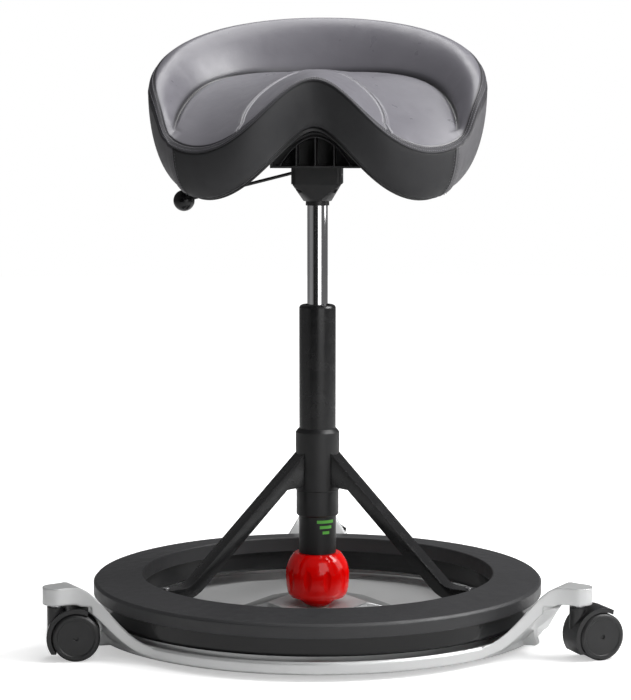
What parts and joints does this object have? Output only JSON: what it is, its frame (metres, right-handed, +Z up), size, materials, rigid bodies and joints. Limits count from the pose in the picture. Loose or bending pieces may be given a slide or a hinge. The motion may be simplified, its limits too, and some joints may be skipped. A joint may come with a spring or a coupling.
{
  "type": "active sitting chair",
  "caption": "Height-adjustable saddle stool on a gas spring, rocking on a screw-adjusted ball inside a foot ring, over a dished three-arm castor base.",
  "frame": {"origin": "point on the floor straight under the column, with the chair on its castors", "axes": "+Z up along the column, -Y towards the front of the seat (the pommel), +X towards the right of the picture"},
  "size_m": [0.7526, 0.7387, 0.841],
  "materials": {
    "cast_aluminium": "satin",
    "bearing_plastic": "matte",
    "bright_steel": "satin",
    "brass": "satin",
    "chrome": "polished",
    "castor_plastic": "satin",
    "castor_tread": "matte",
    "black_steel": "satin",
    "black_plastic": "satin",
    "green_print": "matte",
    "red_plastic": "gloss",
    "grey_tread": "matte",
    "gloss_black": "gloss",
    "foam": "matte",
    "grey_leather": "satin",
    "dark_leather": "matte"
  },
  "bodies": {
    "base": {"base_casting": "cast_aluminium", "castor_bushes": "bearing_plastic"},
    "castor_left": {"castor_stem_left": "bright_steel", "castor_hood_left": "castor_plastic", "castor_axle_left": "bright_steel"},
    "wheel_left_front": {"castor_wheel_left_front": "castor_tread"},
    "wheel_left_rear": {"castor_wheel_left_rear": "castor_tread"},
    "castor_right": {"castor_stem_right": "bright_steel", "castor_hood_right": "castor_plastic", "castor_axle_right": "bright_steel"},
    "wheel_right_front": {"castor_wheel_right_front": "castor_tread"},
    "wheel_right_rear": {"castor_wheel_right_rear": "castor_tread"},
    "castor_back": {"castor_stem_back": "bright_steel", "castor_hood_back": "castor_plastic", "castor_axle_back": "bright_steel"},
    "wheel_back_front": {"castor_wheel_back_front": "castor_tread"},
    "wheel_back_rear": {"castor_wheel_back_rear": "castor_tread"},
    "ball_pad": {"ball_pad": "bearing_plastic"},
    "guide": {"guide_tube": "black_plastic", "level_marks": "green_print"},
    "ball": {"red_ball": "red_plastic", "ball_spindle": "bright_steel", "spindle_washer": "bright_steel"},
    "frame": {"collar": "black_plastic", "leg_left": "black_steel", "leg_right": "black_steel", "leg_back": "black_steel", "foot_ring_tread": "grey_tread", "foot_ring_lower": "gloss_black", "ring_screws": "bright_steel", "spindle_nut": "brass", "column_sleeve": "black_steel", "guide_bush": "bearing_plastic", "thrust_bearing": "bright_steel"},
    "piston_rod": {"piston_rod": "bright_steel", "rod_clip": "bright_steel"},
    "seat": {"gas_cylinder": "chrome", "cylinder_guide": "bearing_plastic", "mechanism_housing": "black_plastic", "housing_screws": "bright_steel", "seat_bracket": "black_plastic", "bracket_bolts": "bright_steel", "lever_pin": "bright_steel", "seat_shell": "black_plastic", "foam_core": "foam", "side_band": "dark_leather", "bowl_cover": "grey_leather", "seat_cover": "grey_leather", "pommel_cover": "grey_leather", "seat_tab": "dark_leather"},
    "lever": {"lever_rod": "black_steel", "lever_knob": "gloss_black"},
    "release_pin": {"release_pin": "bright_steel"}
  },
  "joints": [
    {"name": "castor_left_swivel", "type": "hinge", "parent": "base", "child": "castor_left", "pos_m": [-0.33818, -0.19525, 0.08], "axis": [0, 0, 1], "continuous": true},
    {"name": "wheel_left_front_spin", "type": "hinge", "parent": "castor_left", "child": "wheel_left_front", "pos_m": [-0.31332, -0.19264, 0.031], "axis": [0.1045, -0.9945, 0], "continuous": true},
    {"name": "wheel_left_rear_spin", "type": "hinge", "parent": "castor_left", "child": "wheel_left_rear", "pos_m": [-0.31332, -0.19264, 0.031], "axis": [0.1045, -0.9945, 0], "continuous": true},
    {"name": "castor_right_swivel", "type": "hinge", "parent": "base", "child": "castor_right", "pos_m": [0.33818, -0.19525, 0.08], "axis": [0, 0, 1], "continuous": true},
    {"name": "wheel_right_front_spin", "type": "hinge", "parent": "castor_right", "child": "wheel_right_front", "pos_m": [0.36152, -0.18629, 0.031], "axis": [0.3584, -0.9336, 0], "continuous": true},
    {"name": "wheel_right_rear_spin", "type": "hinge", "parent": "castor_right", "child": "wheel_right_rear", "pos_m": [0.36152, -0.18629, 0.031], "axis": [0.3584, -0.9336, 0], "continuous": true},
    {"name": "castor_back_swivel", "type": "hinge", "parent": "base", "child": "castor_back", "pos_m": [0, 0.3905, 0.08], "axis": [0, 0, 1], "continuous": true},
    {"name": "wheel_back_front_spin", "type": "hinge", "parent": "castor_back", "child": "wheel_back_front", "pos_m": [0.02426, 0.39655, 0.031], "axis": [0.2419, -0.9703, 0], "continuous": true},
    {"name": "wheel_back_rear_spin", "type": "hinge", "parent": "castor_back", "child": "wheel_back_rear", "pos_m": [0.02426, 0.39655, 0.031], "axis": [0.2419, -0.9703, 0], "continuous": true},
    {"name": "rock_fore_aft", "type": "hinge", "parent": "base", "child": "ball_pad", "pos_m": [0, 0, 0.0597], "axis": [1, 0, 0], "range_deg": [-1.4, 1.4]},
    {"name": "rock_sideways", "type": "hinge", "parent": "ball_pad", "child": "guide", "pos_m": [0, 0, 0.0597], "axis": [0, 1, 0], "range_deg": [-1.4, 1.4]},
    {"name": "ball_turn", "type": "hinge", "parent": "guide", "child": "ball", "pos_m": [0, 0, 0.072], "axis": [0, 0, 1], "range_deg": [0, 360]},
    {"name": "level_adjust", "type": "slide", "parent": "guide", "child": "frame", "axis": [0, 0, 1], "range_m": [-0.005, 0]},
    {"name": "seat_swivel", "type": "hinge", "parent": "frame", "child": "piston_rod", "pos_m": [0, 0, 0.22], "axis": [0, 0, 1], "continuous": true},
    {"name": "seat_height", "type": "slide", "parent": "piston_rod", "child": "seat", "axis": [0, 0, 1], "range_m": [-0.105, 0.06]},
    {"name": "height_lever", "type": "hinge", "parent": "seat", "child": "lever", "pos_m": [-0.01998, 0.00084, 0.628], "axis": [0.0419, 0.9991, 0], "range_deg": [0, 8], "stiffness_Nm_per_rad": 2.5},
    {"name": "pin_press", "type": "slide", "parent": "seat", "child": "release_pin", "axis": [0, 0, 1], "range_m": [-0.0028, 0]}
  ],
  "couplings": [
    {"joint": "ball_turn", "follows": "level_adjust", "rad_per_m": -1256.6},
    {"joint": "pin_press", "follows": "height_lever", "m_per_rad": -0.02}
  ]
}
